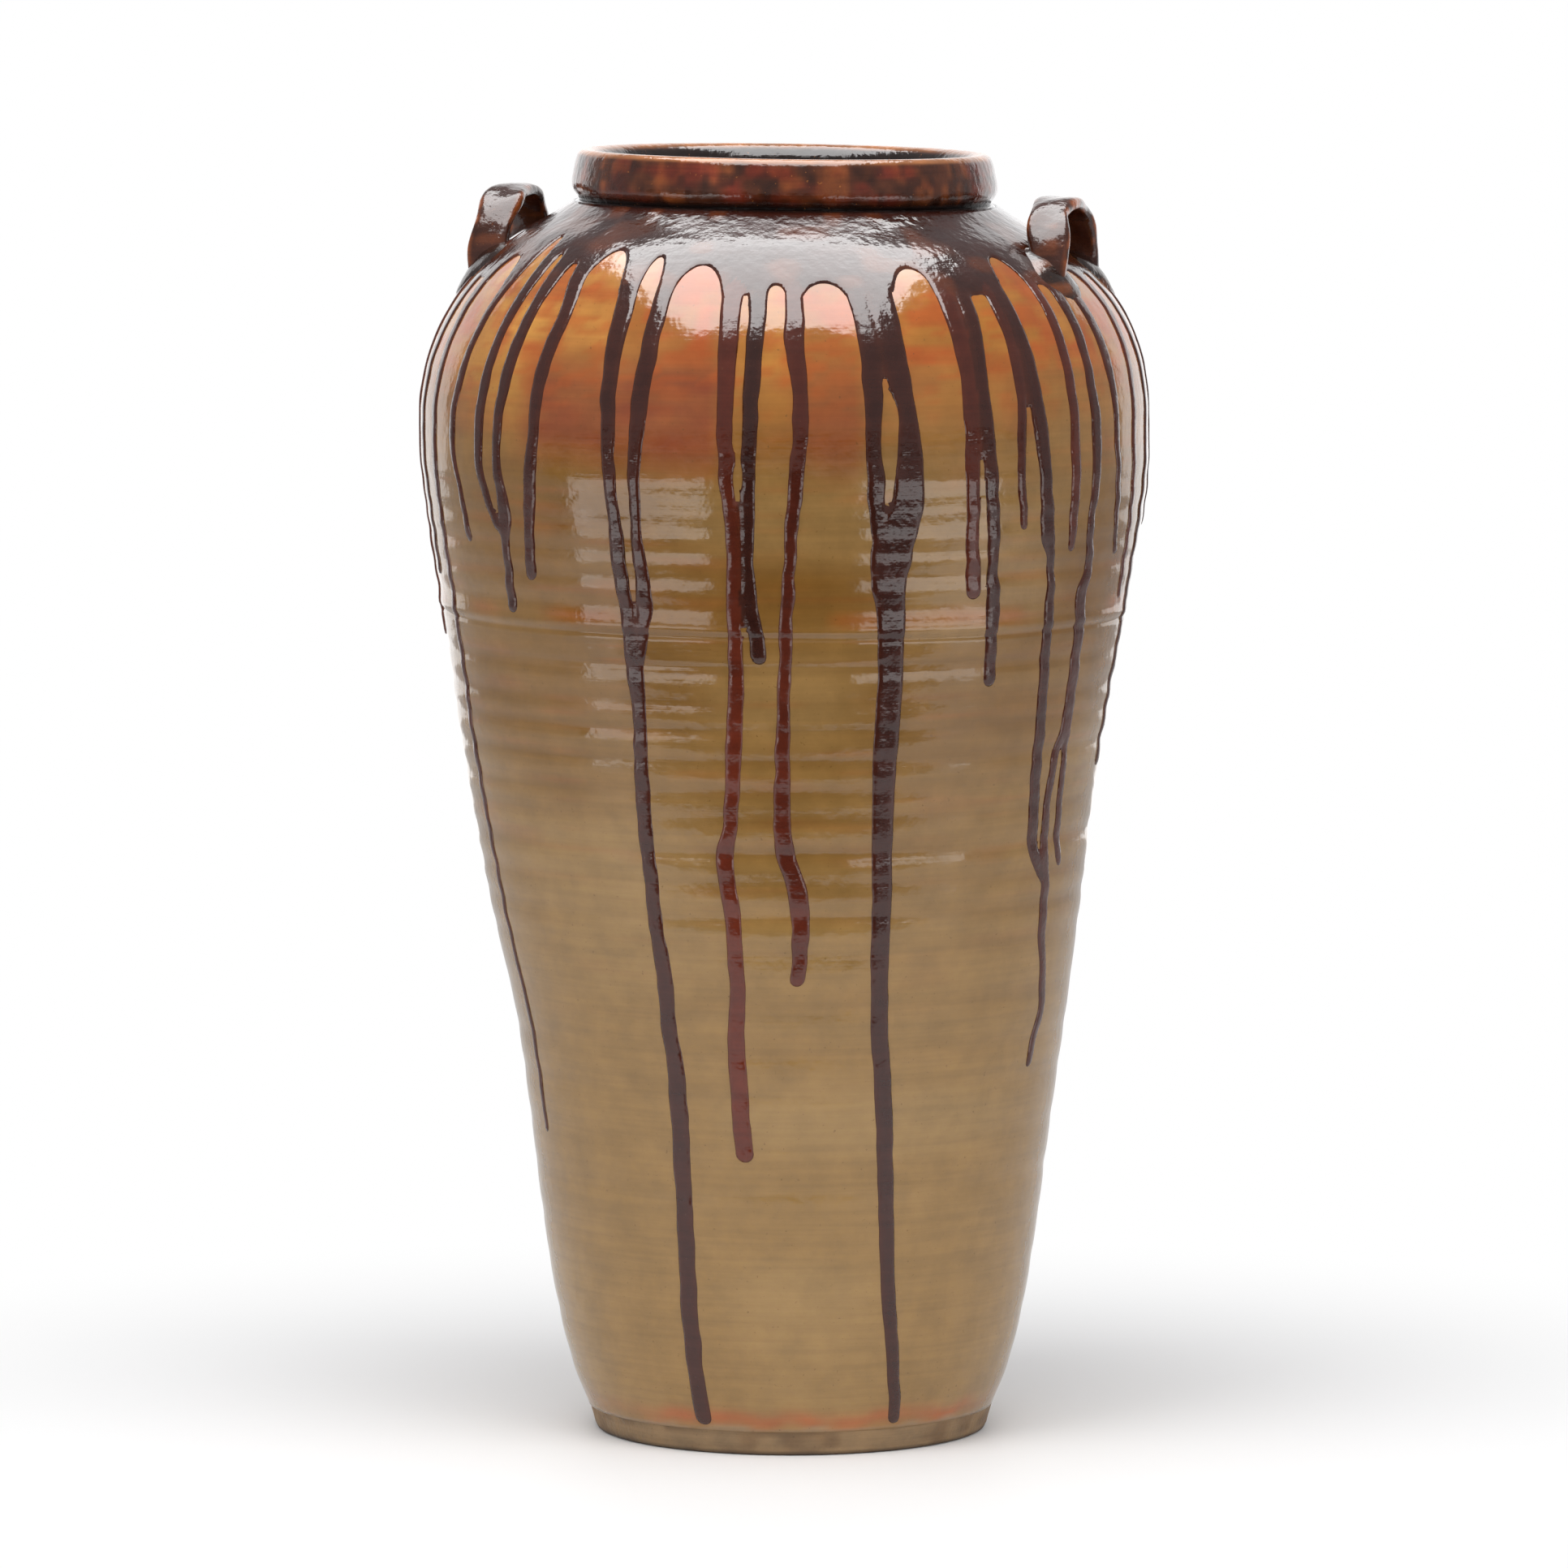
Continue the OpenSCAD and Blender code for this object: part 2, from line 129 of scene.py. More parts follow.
def turned(az):
    """An azimuth difference from -180 to 180."""
    return np.mod(az + 180, 360) - 180


def noise(az, z, cell_az, cell_z, seed):
    """Smooth noise from 0 to 1 that closes around the jar."""
    cells = max(2, int(round(360 / cell_az)))
    table = np.random.default_rng(seed).random((cells, NOISE_ROWS))
    u, v = np.mod(az, 360) / 360 * cells, z / cell_z + NOISE_ZERO
    i, j = np.floor(u).astype(int), np.floor(v).astype(int)
    a, b = u - i, v - j
    a, b = a * a * (3 - 2 * a), b * b * (3 - 2 * b)
    i0, i1, j0, j1 = i % cells, (i + 1) % cells, j % NOISE_ROWS, (j + 1) % NOISE_ROWS
    low = table[i0, j0] * (1 - a) + table[i1, j0] * a
    high = table[i0, j1] * (1 - a) + table[i1, j1] * a
    return low * (1 - b) + high * b


def around(az, cell, seed):
    """Noise that changes only around the jar."""
    return noise(az, 0 * az, cell, 1, seed)


def wander(az, cell, seed):
    """The same, from -0.5 to 0.5."""
    return around(az, cell, seed) - 0.5


def relief(az, z):
    """Radius added by the hand's unevenness, the rings and the seam."""
    out = UNEVEN * (noise(az, z, 60, 90, 1) - 0.5)
    for k, (height, depth, half) in enumerate(RINGS):
        centre = height + RING_WANDER * wander(az, 50, 20 + k)
        deep = depth * (0.35 + 1.3 * around(az, 40, 60 + k))
        out = out - deep * bell((z - centre) / half)
    seam = SEAM_Z - SEAM_TILT * outline(z) * np.sin(np.radians(az)) + SEAM_WANDER * wander(az, 30, 5)
    out = out - CREASE_DEPTH * bell((z - seam) / CREASE_HALF)
    out = out + BULGE * bell((z - seam - BULGE_UP) / BULGE_HALF)
    line = SEAM_Z - LINE_DOWN + LINE_WANDER * wander(az, 30, 6)
    return out - LINE_DEPTH * around(az, 25, 7) * bell((z - line) / CREASE_HALF)


def place(az, r, z):
    """Row frame position, in metres, of a point around the jar's axis, with its lean and its tilted mouth."""
    a = np.radians(az)
    x = r * np.sin(a)
    up = z - TILT * x * step(TILT_FROM, TILT_FULL, z)
    return np.stack([x + lean(z), -r * np.cos(a), up], -1) * MM


def surface(az, z, lift):
    """A place on the glazed wall, lifted off it along its normal."""
    slope = np.where(z > GROOVE_Z - 1, GROOVE_SLOPE, outline(z + 0.5) - outline(z - 0.5))
    long = np.hypot(1, slope)
    return place(az, outline(z) + relief(az, z) + lift / long, z - lift * slope / long)


def make(name, verts, faces, replaced, material, tones):
    """A smooth piece on the jar's one body; tones are its points' colours."""
    mesh = bpy.data.meshes.new(name)
    mesh.from_pydata([tuple(v) for v in verts], [], faces)
    mesh.validate()
    layer = mesh.attributes.new("tone", "FLOAT_COLOR", "POINT")
    flat = np.ones((len(verts), 4), np.float32)
    flat[:, :3] = tones
    layer.data.foreach_set("color", flat.ravel())
    mesh.polygons.foreach_set("use_smooth", [True] * len(mesh.polygons))
    mesh.materials.append(material)
    obj = bpy.data.objects.new(name, mesh)
    bpy.context.scene.collection.objects.link(obj)
    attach(obj, "root")
    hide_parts(*replaced)


# Colours, from 0 to 255 as they are seen
def linear(r, g, b):
    c = np.array([r, g, b], float) / 255
    return np.where(c <= 0.04045, c / 12.92, ((c + 0.055) / 1.055) ** 2.4)


KHAKI, OLIVE, BUFF = linear(148, 114, 64), linear(118, 80, 30), linear(164, 132, 84)
AMBER, ORANGE, RUST = linear(168, 106, 36), linear(170, 78, 24), linear(132, 62, 32)
PALE_AMBER, GROOVE_BLACK = linear(206, 144, 62), linear(30, 17, 14)
BARE, BARE_BROWN, FOOT_BOTTOM_DARK = linear(150, 122, 88), linear(118, 90, 62), linear(60, 44, 32)
FLASH, DARK, THIN_EDGE = linear(176, 84, 40), linear(38, 20, 16), linear(96, 46, 24)
REDDISH, BROWN = linear(104, 40, 22), linear(92, 44, 22)
# Inside of the jar: a brown glaze, and a near black that is painted shade, as little light gets in
INSIDE_SHADE, INSIDE_BROWN = linear(34, 22, 15), linear(70, 46, 24)
RIM_BROWN, RIM_ORANGE, RIM_RED = linear(84, 42, 22), linear(160, 84, 36), linear(124, 40, 22)
RIM_DARK, RIM_LIP = linear(46, 24, 16), linear(216, 140, 84)
# The dark pool under the collar, and the painted shade on the rim's inner face
RIM_POOL, RIM_INSIDE_SHADE = linear(22, 13, 11), linear(34, 19, 13)
# Strap colours; the near black is painted shade for the feet where they meet the shoulder
STRAP_BROWN, STRAP_ORANGE, STRAP_FOOT_SHADE = linear(66, 32, 20), linear(158, 82, 38), linear(28, 16, 13)
WAD_BROWN, WAD_SPOT = linear(44, 24, 17), linear(140, 74, 34)

# Heights where the honey glaze changes, where the olive in the ring grooves (pooled glaze and painted
# reflection) comes in, and where the foot darkens towards its bottom, from first to full, and how far each
# edge waves up and down
OLIVE_FROM, OLIVE_FULL = 230, 430
GOLD_FROM, GOLD_FULL, GOLD_WAVE = 452, 528, 16
RUST_Z, RUST_WAVE, RUST_FROM, RUST_FULL = 457, 14, -6, 20
RUST_FADE, RUST_GONE = 500, 522
POOL_FROM, POOL_FULL = 568, 574
SEAM_FLUSH_Z, SEAM_FLUSH_HALF = 394, 3.5
GROOVE_TONE_FROM, GROOVE_TONE_FULL = 120, 260
STREAK_FROM, STREAK_FULL = 150, 380
MOTTLE_FROM, MOTTLE_FULL = 492, 520
FLECK_FROM, FLECK_FULL = 470, 515
FLASH_Z, FLASH_WAVE, FLASH_HALF = 17, 4, 4.0
BARE_WAVE, BARE_SOFT = 3, 1.2
FOOT_DARK_FULL, FOOT_DARK_END = 0.2, 2.2
# Heights on the rim: its pale lip, the dark pool in the groove under it, and the top of the painted shade on
# its inside
LIP_FROM, LIP_FULL, RIM_POOL_FULL, RIM_POOL_END, RIM_SHADE_FROM, RIM_SHADE_END = 597.2, 599.4, 577.5, 581.5, 597, 600


def plain(colour, like):
    """One colour at every point of a grid."""
    return np.broadcast_to(colour, like.shape + (3,)).copy()


def blend(base, colour, amount):
    return base + (colour - base) * np.clip(amount, 0, 1)[..., None]


def ground_tone(az, z):
    """The see-through honey glaze over the clay."""
    front = turned(az)
    olive = (0.55 + 0.5 * noise(az, z, 26, 26, 31)) * step(OLIVE_FROM, OLIVE_FULL, z)
    tone = blend(plain(KHAKI, az), OLIVE, olive)
    # Olive in the ring grooves: partly glaze pooled in them, partly painted reflection of the darker bands
    # that the ring slopes show
    groove_pool_and_reflection = sum(depth * bell((z - height) / half) for height, depth, half in RINGS)
    groove_pool_and_reflection = 1.3 * groove_pool_and_reflection * noise(az, z, 22, 60, 44) * step(GROOVE_TONE_FROM, GROOVE_TONE_FULL, z)
    tone = blend(tone, OLIVE, groove_pool_and_reflection)
    tone = blend(tone, BUFF, 0.45 * step(0.45, 0.9, noise(az, z, 35, 40, 32)))
    streak = step(0.6, 1, noise(az, z, 14, 3.2, 33)) * step(STREAK_FROM, STREAK_FULL, z)
    tone = blend(tone, ORANGE, 0.16 * streak)

    patch = window(front, -50, -40, -12, -7) + 0.75 * window(front, 0, 4, 10, 15)
    sides = 0.6 * step(0.35, 0.75, noise(az, z, 38, 60, 34)) * step(60, 85, np.abs(front))
    patch = np.maximum(np.maximum(patch, sides), 0.3 * step(0.5, 0.8, noise(az, z, 10, 12, 42)))
    low = RUST_Z + RUST_WAVE * (noise(az, z, 9, 60, 35) - 0.5)
    rust = patch * step(low + RUST_FROM, low + RUST_FULL, z) * (1 - 0.6 * step(RUST_FADE, RUST_GONE, z))

    gold = step(GOLD_FROM, GOLD_FULL, z + GOLD_WAVE * (noise(az, z, 12, 14, 43) - 0.5))
    pale = step(0.3, 0.7, 0.5 * noise(az, z, 13, 22, 45) + 0.5 * bell((front + 42) / 26))
    tone = blend(tone, blend(plain(AMBER, az), PALE_AMBER, pale), gold * 0.95)
    tone = blend(tone, RUST, rust * (0.75 + 0.25 * noise(az, z, 6, 5, 36)))
    mottle = step(0.5, 0.8, noise(az, z, 4.5, 9, 37)) * step(MOTTLE_FROM, MOTTLE_FULL, z)
    tone = blend(tone, ORANGE, 0.75 * mottle)
    fleck = step(0.5, 0.8, noise(az, z, 2.6, 2.8, 46)) * step(FLECK_FROM, FLECK_FULL, z)
    tone = blend(tone, ORANGE, 0.5 * fleck)
    flush = 0.35 * bell((z - SEAM_FLUSH_Z) / SEAM_FLUSH_HALF)
    tone = blend(tone, ORANGE, flush * step(0.4, 0.7, noise(az, z, 12, 50, 38)))

    flash = bell((z - FLASH_Z - FLASH_WAVE * wander(az, 8, 39)) / FLASH_HALF)
    flash = flash * (0.25 + 0.75 * window(front, -50, -35, 45, 70))
    tone = blend(tone, FLASH, 0.75 * flash * (0.5 + 0.5 * noise(az, z, 5, 4, 40)))
    tone = blend(tone, GROOVE_BLACK, step(POOL_FROM, POOL_FULL, z))
    bare = 1 - step(FOOT_Z - BARE_SOFT, FOOT_Z + BARE_SOFT, z - BARE_WAVE * wander(az, 7, 41))
    return blend(tone, BARE, bare)


def foot_tone(az, z):
    tone = blend(plain(BARE, az), BARE_BROWN, 0.7 * step(0.4, 0.8, noise(az, z, 6, 6, 51)))
    # The foot turns darker towards its bottom edge
    return blend(tone, FOOT_BOTTOM_DARK, 0.8 * (1 - step(FOOT_DARK_FULL, FOOT_DARK_END, z)))


def inner_tone(az, z):
    # The inside's brown glaze, mottled over a near black that is painted shade
    return blend(plain(INSIDE_SHADE, az), INSIDE_BROWN, 0.6 * noise(az, z, 18, 25, 52))


# Shader helpers
def node(tree, kind, **inputs):
    n = tree.nodes.new(kind)
    for key, value in inputs.items():
        n.inputs[key.replace("_", " ")].default_value = value
    return n


def ramp(tree, source, stops):
    """Grey ramp with (position, grey) stops."""
    n = tree.nodes.new("ShaderNodeValToRGB")
    while len(n.color_ramp.elements) < len(stops):
        n.color_ramp.elements.new(0.5)
    for element, (at, grey) in zip(n.color_ramp.elements, stops):
        element.position = at
        element.color = (grey, grey, grey, 1)
    tree.links.new(source, n.inputs[0])
    return n.outputs[0]


def mixed(tree, factor, a, b, mode="MIX"):
    """Colour mix; each value is a socket or a constant."""
    n = tree.nodes.new("ShaderNodeMix")
    n.data_type = "RGBA"
    n.blend_type = mode
    for slot, value in ((0, factor), (6, a), (7, b)):
        if isinstance(value, bpy.types.NodeSocket):
            tree.links.new(value, n.inputs[slot])
        elif slot == 0:
            n.inputs[0].default_value = value
        else:
            n.inputs[slot].default_value = (*value, 1)
    return n.outputs[2]


def glaze(name, rough, bump, speck, speck_tone, vary, peel=160.0, ior=1.5):
    """A glaze with the mesh's tone, varied by clouds, specks and fine throwing lines, over an uneven skin."""
    m = bpy.data.materials.new(name)
    m.use_nodes = True
    t = m.node_tree
    shader = t.nodes["Principled BSDF"]
    shader.inputs["IOR"].default_value = ior
    tone = node(t, "ShaderNodeAttribute")
    tone.attribute_name = "tone"
    where = t.nodes.new("ShaderNodeTexCoord").outputs["Object"]
    squeeze = node(t, "ShaderNodeMapping", Scale=(9, 9, 260))
    t.links.new(where, squeeze.inputs["Vector"])
    cloud = node(t, "ShaderNodeTexNoise", Scale=60.0, Detail=5.0, Roughness=0.6)
    fine = node(t, "ShaderNodeTexNoise", Scale=620.0, Detail=3.0)
    skin = node(t, "ShaderNodeTexNoise", Scale=peel, Detail=2.0)
    lines = node(t, "ShaderNodeTexNoise", Scale=1.0, Detail=4.0, Roughness=0.65)
    for n in (cloud, fine, skin):
        t.links.new(where, n.inputs["Vector"])
    t.links.new(squeeze.outputs[0], lines.inputs["Vector"])

    shade = ramp(t, cloud.outputs[0], [(0.3, 1 - vary), (0.7, 1 + 0.2 * vary)])
    colour = mixed(t, 1.0, tone.outputs["Color"], shade, "MULTIPLY")
    shade = ramp(t, lines.outputs[0], [(0.35, 1 - 0.8 * vary), (0.62, 1.0)])
    colour = mixed(t, 0.8, colour, shade, "MULTIPLY")
    dots = ramp(t, fine.outputs[0], [(0.69, 0.0), (0.74, speck)])
    t.links.new(mixed(t, dots, colour, speck_tone), shader.inputs["Base Color"])
    uneven = ramp(t, cloud.outputs[0], [(0.3, rough * 0.8), (0.75, rough * 1.35)])
    t.links.new(uneven, shader.inputs["Roughness"])

    coarse = node(t, "ShaderNodeBump", Strength=bump, Distance=0.0012)
    t.links.new(skin.outputs[0], coarse.inputs["Height"])
    ribbed = node(t, "ShaderNodeBump", Strength=bump * 0.8, Distance=0.0006)
    t.links.new(lines.outputs[0], ribbed.inputs["Height"])
    t.links.new(coarse.outputs[0], ribbed.inputs["Normal"])
    t.links.new(ribbed.outputs[0], shader.inputs["Normal"])
    return m


GROUND = glaze("honey_glaze", rough=0.11, bump=0.16, speck=0.6, speck_tone=linear(92, 62, 26), vary=0.18,
               ior=1.56)
BLACK = glaze("dark_glaze", rough=0.12, bump=0.26, speck=0.25, speck_tone=linear(96, 60, 40), vary=0.3,
              peel=220.0, ior=1.52)
RIM = glaze("rim_glaze", rough=0.14, bump=0.3, speck=0.4, speck_tone=linear(180, 110, 50), vary=0.45,
            peel=240.0)
INNER = glaze("inner_glaze", rough=0.55, bump=0.25, speck=0.2, speck_tone=linear(60, 42, 26), vary=0.4,
              ior=1.4)
CLAY = glaze("bare_clay", rough=0.62, bump=0.45, speck=0.6, speck_tone=linear(70, 52, 38), vary=0.3,
             peel=320.0, ior=1.45)
LUG_GLAZE = glaze("lug_glaze", rough=0.16, bump=0.35, speck=0.35, speck_tone=linear(150, 90, 44), vary=0.4,
                  peel=260.0)


def lathe(name, path, cols, replaced, material, tone, wavy=False):
    """A closed solid around the leaning axis, from radii and heights; a path from the axis gets poles."""
    r, z = np.array(path[0], float), np.array(path[1], float)
    az = np.arange(cols) * 360 / cols
    poles = r[0] == 0
    grid_az, grid_z = np.meshgrid(az, z)
    grid_r = np.broadcast_to(r[:, None], grid_z.shape)
    if wavy:
        grid_r = grid_r + relief(grid_az, grid_z)
    points, tones = place(grid_az, grid_r, grid_z).reshape(-1, 3), tone(grid_az, grid_z).reshape(-1, 3)
    faces = []
    rows = len(z)
    for i in range(rows - 1 if poles else rows):
        a, b = i * cols, ((i + 1) % rows) * cols
        for j in range(cols):
            k = (j + 1) % cols
            if poles and i == 0:
                faces.append((a, b + k, b + j))
            elif poles and i == rows - 2:
                faces.append((a + j, a + k, b))
            else:
                faces.append((a + j, a + k, b + k, b + j))
    if poles:
        used = np.ones(rows * cols, bool)
        used[1:cols] = False
        used[(rows - 1) * cols + 1:] = False
        new = np.cumsum(used) - 1
        points, tones = points[used], tones[used]
        faces = [tuple(int(new[v]) for v in f) for f in faces]
    make(name, points, faces, replaced, material, tones)


# Wall with its honey glaze, one closed shell, with finer rows at the seam
ROW, FINE_ROW, FINE_FROM, FINE_TO = 2.3, 0.9, 366, 396
WALL_FOOT = FOOT_Z - 1.5
rows_up = [WALL_FOOT]
while rows_up[-1] < GROOVE_Z - 0.4:
    row = FINE_ROW if FINE_FROM < rows_up[-1] < FINE_TO else ROW
    rows_up.append(float(height_at(arc(rows_up[-1]) + row)))
outer_z = np.array(rows_up)
inner_z = np.linspace(GROOVE_Z - 3, WALL_FOOT, 40)
wall_r = np.concatenate([outline(outer_z), outline(inner_z) - WALL + 1])
lathe("wall", (wall_r, np.concatenate([outer_z, inner_z])), 300,
      ("lower_wall", "upper_wall", "seam_slip", "ground_glaze"), GROUND, ground_tone, wavy=True)

# Bare foot and base, (radius, height)
FOOT = [(0, 0.0), (40, 0.0), (80, 0.0), (89.5, 0.0), (91.4, 0.6), (92.4, 2.5), (93.0, 5), (93.9, 8),
        (94.8, 11), (95.2, 12.4), (93, 13.5), (88, 14.0), (40, 14.0), (0, 14.0)]
lathe("foot", list(zip(*FOOT)), 240, ("base_disc",), CLAY, foot_tone)

# Liner of the inside, from the floor's middle up to the mouth and back down behind its face
FLOOR_TOP, FLOOR_MID_R, LINER_T, MOUTH_R = 20, 50, 1.2, 83.4
up_z = np.linspace(FLOOR_TOP + 1, 566, 90)
down_z = up_z[::-1]
face_r = np.maximum(MOUTH_R, outline(up_z) - WALL - LINER_T / 2)
rear_r = np.maximum(MOUTH_R + LINER_T, outline(down_z) - WALL + LINER_T / 2)
liner_r = np.concatenate([[0, FLOOR_MID_R], face_r, rear_r, [FLOOR_MID_R, 0]])
floor_rear = FLOOR_TOP - 1.4
liner_z = np.concatenate([[FLOOR_TOP] * 2, up_z, down_z - LINER_T, [floor_rear] * 2])
lathe("inner_coat", (liner_r, liner_z), 160, ("inner_glaze",), INNER, inner_tone)

# Rim collar and lip, (radius, height), with its corners cut three times
RIM_LOOP = [(88, 563), (93, 571), (95.2, 575), (96.0, 577.5), (97.6, 579.6), (99.2, 582), (99.4, 586),
            (98.4, 591), (97.6, 595), (96.4, 598.4), (94.0, 600.2), (91.0, 600.2), (87.6, 598.8),
            (84.6, 595), (83.2, 590), (82.8, 580), (82.8, 570), (83.4, 563)]
RIM_CUTS, LIP_INNER_R = 3, 90
rim = np.array(RIM_LOOP, float)
for cut in range(RIM_CUTS):
    ahead = np.roll(rim, -1, 0)
    rim = np.stack([0.75 * rim + 0.25 * ahead, 0.25 * rim + 0.75 * ahead], 1).reshape(-1, 2)


def rim_tone(az, z):
    inside = np.where(rim[:, :1] < LIP_INNER_R, 1.0, 0.0) * np.ones_like(z)
    tone = blend(plain(RIM_BROWN, az), RIM_ORANGE, 0.7 * step(0.4, 0.95, noise(az, z, 3.2, 9, 61)))
    tone = blend(tone, RIM_RED, 0.7 * step(0.35, 0.9, noise(az, z, 7, 6, 62)))
    tone = blend(tone, RIM_DARK, 0.7 * step(0.35, 0.9, noise(az, z, 2.4, 5, 63)))
    tone = blend(tone, RIM_LIP, 0.9 * step(LIP_FROM, LIP_FULL, z) * (0.55 + 0.45 * noise(az, z, 6, 9, 64)))
    tone = blend(tone, RIM_POOL, 1 - step(RIM_POOL_FULL, RIM_POOL_END, z))
    # The rim's inner face below the lip is darkened as painted shade inside the mouth
    return blend(tone, RIM_INSIDE_SHADE, inside * (1 - step(RIM_SHADE_FROM, RIM_SHADE_END, z)))


lathe("rim", rim.T, 360, ("neck_ring", "rim_collar", "rim_glaze"), RIM, rim_tone)

# Dark runs at the front, each with how red it is and its (azimuth, height, width) points
FRONT_RUNS = [
    (.3, [(-72, 550, 8), (-72, 415, 6), (-71, 315, 5), (-70, 215, 4), (-69, 145, 4)]),
    (.35, [(-60.5, 550, 9), (-61.6, 525, 6), (-62.7, 500, 6.5), (-64, 470, 6), (-62.2, 450, 4.6),
           (-61, 424, 5.6)]),
    (.25, [(-53.5, 548, 8.5), (-54.5, 515, 6.8), (-54.8, 500, 7.6), (-55.6, 465, 6.8), (-53.8, 443, 6),
           (-51.3, 430, 6)]),
    (.2, [(-48.2, 550, 10), (-48.6, 530, 8.1), (-49.6, 500, 8), (-50.85, 465, 6), (-49.8, 437, 9),
          (-50.4, 425, 6.2), (-50.6, 393, 6.5)]),
    (.25, [(-42.2, 550, 9.6), (-40.3, 530, 8.5), (-41.6, 510, 8.5), (-42.2, 480, 6.5), (-43.5, 450, 8.2),
           (-44.4, 430, 6.7), (-45.2, 409, 7)]),
    (.15, [(-29.4, 550, 10), (-28.5, 530, 9.5), (-28.2, 490, 7.7), (-27.8, 450, 6.5), (-27.1, 420, 8),
           (-26, 391, 7.2), (-25.6, 376, 8.8), (-25.1, 341, 7), (-25.5, 303, 7.5), (-25.5, 253, 7),
           (-25, 230, 8.2), (-25.5, 207, 8), (-24.8, 187, 8.5), (-24.4, 149, 9), (-24.5, 110, 8.5),
           (-24.8, 72, 8.5), (-24.5, 14, 8)]),
    (.2, [(-21.9, 550, 9), (-22.1, 530, 8.3), (-22.6, 500, 8.8), (-23.6, 465, 6.5), (-23.9, 440, 5.5),
          (-23.2, 410, 7.4), (-23, 400, 8), (-23.5, 389, 6.5), (-25.2, 372, 6)]),
    (.85, [(-9.3, 550, 9.9), (-9.2, 520, 9.4), (-9, 500, 7.8), (-8.9, 460, 7.1), (-8.2, 430, 6),
           (-8.4, 410, 6), (-7.9, 380, 7), (-8.2, 341, 7.5), (-9.2, 303, 7), (-10.8, 282, 8.4),
           (-10, 249, 7.5), (-10, 226, 7.5), (-11.2, 199, 8), (-10.9, 172, 8.5), (-10, 141, 8.5)]),
    (0, [(-4.7, 550, 8.8), (-5, 510, 8), (-5.35, 480, 6.8), (-5.8, 440, 6.5), (-5.9, 418, 5.7),
         (-5.9, 403, 8.4), (-4.7, 387, 7.5), (-4.1, 374, 7.4)]),
    (.6, [(1.4, 550, 7.3), (1.5, 525, 9.6), (2.3, 500, 7.3), (2.4, 480, 7.3), (1.4, 450, 6.5), (0.65, 420, 6),
          (0.2, 380, 6), (0.2, 341, 6.5), (0, 303, 8), (0.4, 286, 9), (2.3, 268, 9.6), (2.8, 249, 8),
          (1.5, 224, 6.8)]),
    (.1, [(12.8, 550, 10), (13.8, 500, 9.4), (13.6, 480, 7.3), (14, 460, 8.3), (14.4, 440, 8),
          (15.2, 428, 8)]),
    (.1, [(16.8, 550, 13), (18.2, 500, 11.4), (19.1, 490, 9), (19.6, 470, 12.4), (19.3, 450, 15.5),
          (18, 435, 18.5), (16.8, 425, 20), (16.7, 410, 16.6), (17.2, 400, 14), (17.8, 380, 12.5),
          (18.1, 341, 12), (18.2, 303, 10.5), (18.4, 264, 9.5), (18.1, 207, 8.5), (19.4, 176, 8.5),
          (20.6, 149, 8), (21.9, 110, 7.5), (23.8, 72, 7), (26.2, 45, 6.5), (29.6, 14, 6)]),
    (.7, [(29.2, 550, 9.5), (29.9, 500, 8), (30.35, 450, 7.5), (30.5, 430, 7), (31.4, 416, 8.3),
          (31.8, 402, 8)]),
    (.15, [(33, 550, 8.5), (32.3, 500, 7.5), (33.6, 460, 7.4), (34.15, 440, 7.4), (35, 418, 6.3),
           (35.6, 401, 8), (36.4, 380, 7), (37, 361, 6.4)]),
    (.45, [(39, 550, 6.5), (39.6, 500, 5.6), (39.5, 460, 5), (40.5, 433, 4.4)]),
    (.15, [(41, 550, 9), (42, 510, 9), (43.4, 480, 9.4), (44.5, 460, 8), (45.9, 430, 9.4), (47.4, 418, 5.4),
           (48.3, 403, 6), (49, 380, 7), (50.6, 345, 7.5), (51.9, 310, 8), (53.4, 284, 8), (58, 266, 7)]),
    (.85, [(51.4, 550, 7), (51, 520, 6.7), (51.5, 480, 7), (51.9, 440, 6.6), (52.1, 421, 4.8)]),
    (.3, [(57, 550, 9), (56.6, 500, 7.2), (57.5, 480, 8.8), (57.4, 450, 6.8), (56.9, 430, 6), (58.2, 412, 7),
          (57, 403, 9), (58.1, 380, 9), (59, 345, 9), (56.8, 322, 6), (56.5, 303, 6), (57.4, 280, 7),
          (58.9, 266, 7.5), (59.4, 245, 7), (61.9, 222, 6.5), (63.1, 207, 6.5), (61.2, 190, 5.5),
          (60.2, 178, 5)]),
    (.3, [(59, 345, 7), (60.2, 322, 5.4), (61.2, 295, 6), (62.6, 280, 6), (63.8, 272, 5)]),
    (.4, [(62.5, 550, 8), (63.3, 510, 8), (64.1, 480, 5.8), (65.1, 450, 6), (65.9, 430, 4.4), (67, 417, 5)])]
